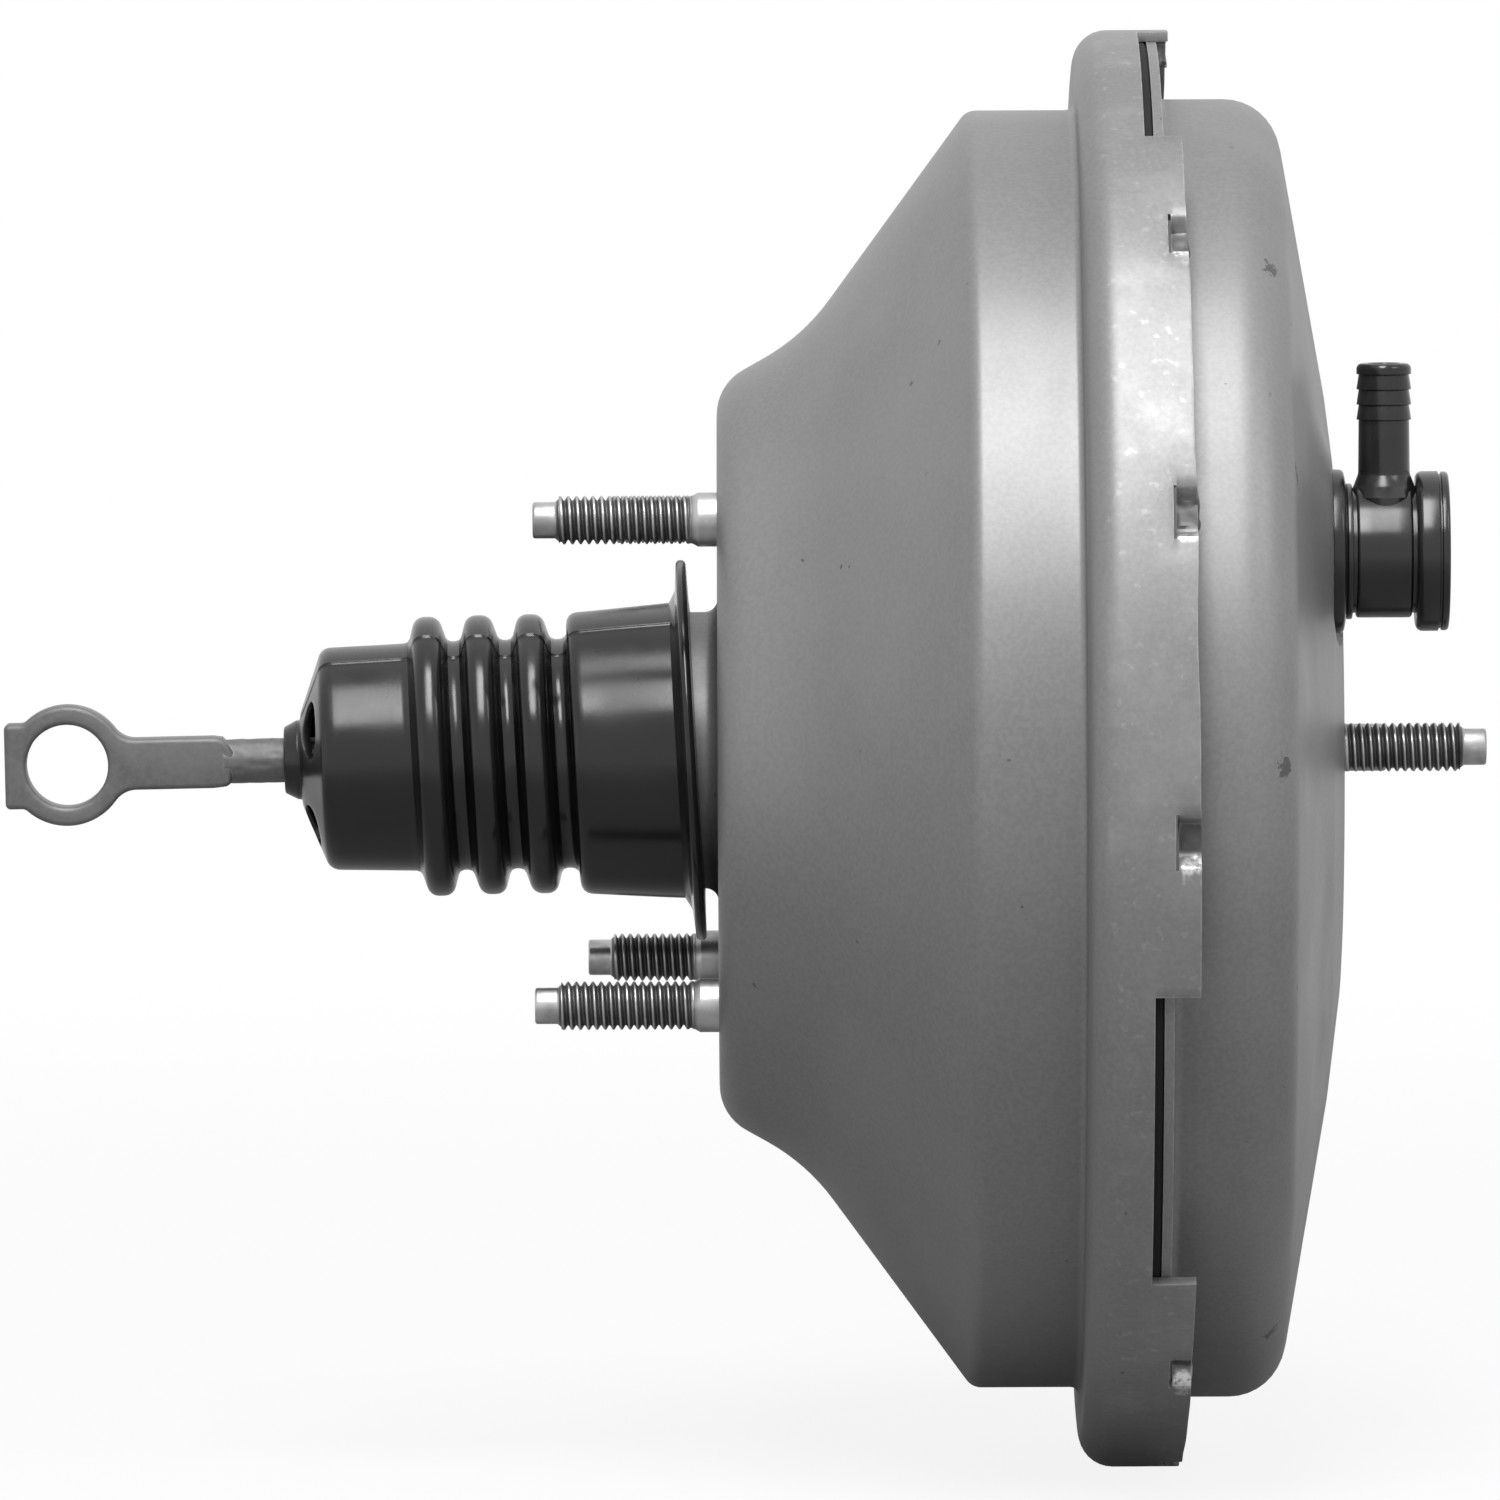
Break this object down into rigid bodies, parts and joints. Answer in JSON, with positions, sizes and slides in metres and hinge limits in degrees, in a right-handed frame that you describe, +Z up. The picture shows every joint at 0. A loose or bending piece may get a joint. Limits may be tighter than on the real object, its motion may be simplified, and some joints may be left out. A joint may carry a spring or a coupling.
{
  "type": "brake booster",
  "caption": "Round vacuum brake booster: crimped steel shells, rubber-booted pedal rod with eye, threaded mounting studs and a side check valve.",
  "frame": {"origin": "booster axis in the plane of the rear face that meets the firewall", "axes": "+X along the booster axis towards the master cylinder, -X to the brake pedal, +Z up, -Y to the side with the check valve"},
  "size_m": [0.2865, 0.2794, 0.2794],
  "materials": {
    "zinc_plated_sheet": "satin",
    "plain_steel": "satin",
    "stud_steel": "satin",
    "spring_steel": "satin",
    "forged_steel": "matte",
    "black_rubber": "satin",
    "black_nylon": "gloss",
    "white_nylon": "matte",
    "phenolic": "matte",
    "filter_foam": "matte",
    "filter_felt": "matte"
  },
  "bodies": {
    "housing": {"rear_shell": "zinc_plated_sheet", "front_shell": "zinc_plated_sheet", "rear_stud_plate": "plain_steel", "firewall_studs": "stud_steel", "front_stud_plate": "plain_steel", "master_cylinder_studs": "stud_steel", "diaphragm": "black_rubber", "rear_bearing": "white_nylon", "rear_seal": "black_rubber", "rear_seal_retainer": "plain_steel", "return_spring": "spring_steel", "front_seal": "black_rubber", "dust_boot": "black_rubber", "check_valve_grommet": "black_rubber"},
    "power_piston": {"valve_body": "phenolic", "diaphragm_plate": "plain_steel", "reaction_disc": "black_rubber", "output_rod": "plain_steel", "output_rod_retainer": "plain_steel", "stop_key": "plain_steel", "control_valve": "black_rubber", "poppet_retainer": "plain_steel", "poppet_spring": "spring_steel", "plunger_return_spring": "spring_steel", "air_filter": "filter_foam", "silencer": "filter_felt", "filter_retainer": "plain_steel"},
    "valve_plunger": {"valve_plunger": "plain_steel"},
    "pedal_rod": {"input_rod": "forged_steel", "spring_seat": "plain_steel"},
    "output_rod_screw": {"output_rod_screw": "plain_steel"},
    "check_valve": {"check_valve_body": "black_nylon", "check_valve_cap": "black_nylon", "check_valve_spring": "spring_steel"},
    "check_valve_poppet": {"check_valve_poppet": "black_rubber"}
  },
  "joints": [
    {"name": "piston_travel", "type": "slide", "parent": "housing", "child": "power_piston", "axis": [1, 0, 0], "range_m": [0, 0.032], "stiffness_N_per_m": 1400, "springref_m": -0.06, "deforming": ["diaphragm", "return_spring", "dust_boot"]},
    {"name": "plunger_travel", "type": "slide", "parent": "power_piston", "child": "valve_plunger", "axis": [1, 0, 0], "range_m": [0, 0.0018], "stiffness_N_per_m": 2500, "springref_m": -0.012, "deforming": ["control_valve", "poppet_spring", "plunger_return_spring"]},
    {"name": "pedal_rod_swing", "type": "hinge", "parent": "valve_plunger", "child": "pedal_rod", "pos_m": [0.002, 0, 0], "axis": [0, 1, 0], "range_deg": [-3, 5], "stiffness_Nm_per_rad": 6, "deforming": ["air_filter", "silencer"]},
    {"name": "output_rod_adjustment", "type": "slide", "parent": "power_piston", "child": "output_rod_screw", "axis": [1, 0, 0], "range_m": [0, 0.003]},
    {"name": "check_valve_swivel", "type": "hinge", "parent": "housing", "child": "check_valve", "pos_m": [0.1275, -0.05254, 0.04088], "axis": [1, 0, 0], "range_deg": [-140, 175]},
    {"name": "check_poppet_lift", "type": "slide", "parent": "check_valve", "child": "check_valve_poppet", "axis": [1, 0, 0], "range_m": [0, 0.0022], "stiffness_N_per_m": 20, "springref_m": -0.006, "deforming": ["check_valve_spring"]}
  ]
}
